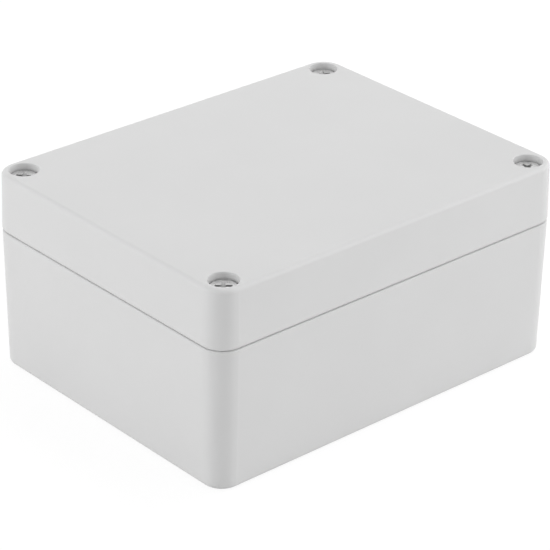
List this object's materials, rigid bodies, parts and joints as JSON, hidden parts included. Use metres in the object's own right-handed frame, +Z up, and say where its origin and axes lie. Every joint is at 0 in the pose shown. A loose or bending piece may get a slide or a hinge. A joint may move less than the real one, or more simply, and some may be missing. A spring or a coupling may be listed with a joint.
{
  "type": "plastic project box",
  "caption": "Rectangular sealed enclosure with a deep base and a deep lid, held by recessed corner screws; walls lean slightly and every edge is rounded.",
  "frame": {"origin": "middle of the underside, where the box stands", "axes": "+Z up, +X along the long side, +Y along the short side; the front is the long side at -Y"},
  "size_m": [0.115, 0.09, 0.055],
  "materials": {
    "base_moulding": "light grey moulded plastic with a very fine matt texture, clean and unworn",
    "lid_moulding": "the same light grey moulded plastic as the base",
    "gasket_rubber": "plain black sealing rubber, pressed into the lid's groove",
    "insert_brass": "turned brass, dull",
    "screw_steel": "bright plated steel with a cross recess"
  },
  "bodies": {
    "base": {"base": "base_moulding", "insert_front_left": "insert_brass", "insert_front_right": "insert_brass", "insert_rear_left": "insert_brass", "insert_rear_right": "insert_brass"},
    "lid": {"lid": "lid_moulding", "gasket": "gasket_rubber"},
    "lid_screw_front_left": {"lid_screw_front_left": "screw_steel"},
    "lid_screw_front_right": {"lid_screw_front_right": "screw_steel"},
    "lid_screw_rear_left": {"lid_screw_rear_left": "screw_steel"},
    "lid_screw_rear_right": {"lid_screw_rear_right": "screw_steel"}
  },
  "joints": [
    {"name": "lid_lift", "type": "slide", "parent": "base", "child": "lid", "axis": [0, 0, 1], "range_m": [0, 0.06]},
    {"name": "screw_rise_front_left", "type": "slide", "parent": "lid", "child": "lid_screw_front_left", "axis": [0, 0, 1], "range_m": [0, 0.009]},
    {"name": "screw_rise_front_right", "type": "slide", "parent": "lid", "child": "lid_screw_front_right", "axis": [0, 0, 1], "range_m": [0, 0.009]},
    {"name": "screw_rise_rear_left", "type": "slide", "parent": "lid", "child": "lid_screw_rear_left", "axis": [0, 0, 1], "range_m": [0, 0.009]},
    {"name": "screw_rise_rear_right", "type": "slide", "parent": "lid", "child": "lid_screw_rear_right", "axis": [0, 0, 1], "range_m": [0, 0.009]}
  ]
}
